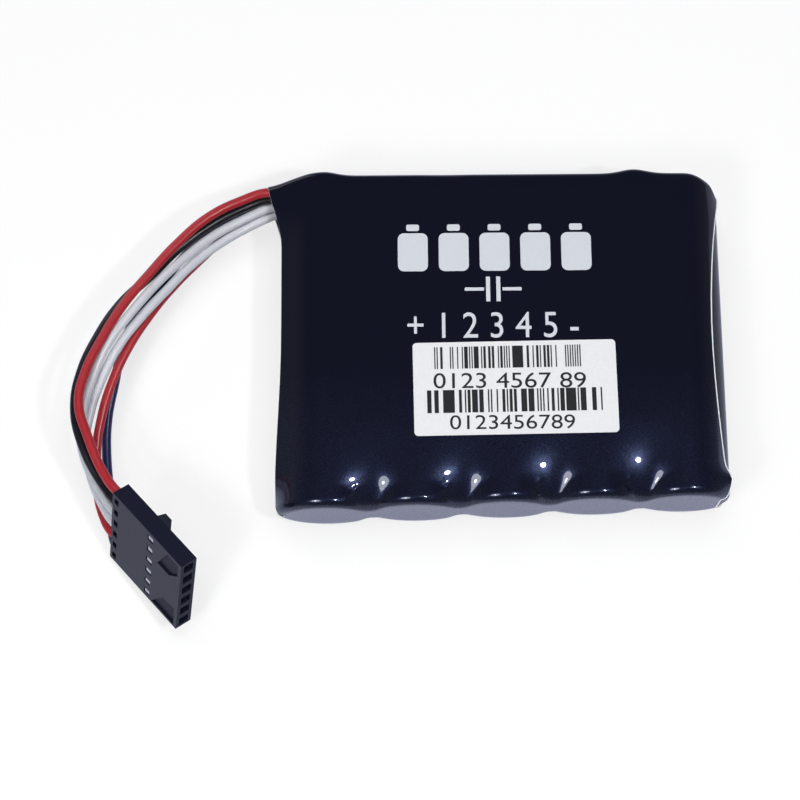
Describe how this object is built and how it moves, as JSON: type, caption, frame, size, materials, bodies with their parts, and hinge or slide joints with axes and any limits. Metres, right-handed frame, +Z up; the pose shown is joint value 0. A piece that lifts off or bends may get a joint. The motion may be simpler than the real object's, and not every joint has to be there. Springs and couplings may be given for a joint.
{
  "type": "raid battery module",
  "caption": "Flat pack of round cells side by side in a dark glossy shrink sleeve, with a paper label and short coloured wires ending in a narrow single-row connector.",
  "frame": {"origin": "centre of the underside of the row of cells, on the surface the pack lies on", "axes": "+X along the row of cells away from the wires, +Y along the cells towards their leads, +Z up out of the labelled face"},
  "size_m": [0.0958, 0.0673, 0.0185],
  "materials": {
    "film": "glossy",
    "label_paper": "satin",
    "can_aluminium": "satin",
    "cell_jacket": "glossy",
    "bung_rubber": "matte",
    "tinned_lead": "satin",
    "circuit_board": "satin",
    "solder": "satin",
    "fish_paper": "matte",
    "red_insulation": "satin",
    "black_insulation": "satin",
    "white_insulation": "satin",
    "blue_insulation": "satin",
    "connector_nylon": "satin",
    "terminal_brass": "satin"
  },
  "bodies": {
    "root": {"shrink_sleeve": "film", "label": "label_paper", "cell_can_1": "can_aluminium", "cell_can_2": "can_aluminium", "cell_can_3": "can_aluminium", "cell_can_4": "can_aluminium", "cell_can_5": "can_aluminium", "cell_jacket_1": "cell_jacket", "cell_jacket_2": "cell_jacket", "cell_jacket_3": "cell_jacket", "cell_jacket_4": "cell_jacket", "cell_jacket_5": "cell_jacket", "cell_bung_1": "bung_rubber", "cell_bung_2": "bung_rubber", "cell_bung_3": "bung_rubber", "cell_bung_4": "bung_rubber", "cell_bung_5": "bung_rubber", "positive_lead_1": "tinned_lead", "positive_lead_2": "tinned_lead", "positive_lead_3": "tinned_lead", "positive_lead_4": "tinned_lead", "positive_lead_5": "tinned_lead", "negative_lead_1": "tinned_lead", "negative_lead_2": "tinned_lead", "negative_lead_3": "tinned_lead", "negative_lead_4": "tinned_lead", "negative_lead_5": "tinned_lead", "interconnect_board": "circuit_board", "lead_joints": "solder", "wire_joints": "solder", "insulator_card": "fish_paper", "red_wire": "red_insulation", "black_wire": "black_insulation", "white_wire_1": "white_insulation", "white_wire_2": "white_insulation", "red_wire_2": "red_insulation", "blue_wire": "blue_insulation", "connector_housing": "connector_nylon", "terminal_1": "terminal_brass", "terminal_2": "terminal_brass", "terminal_3": "terminal_brass", "terminal_4": "terminal_brass", "terminal_5": "terminal_brass", "terminal_6": "terminal_brass"}
  },
  "joints": []
}
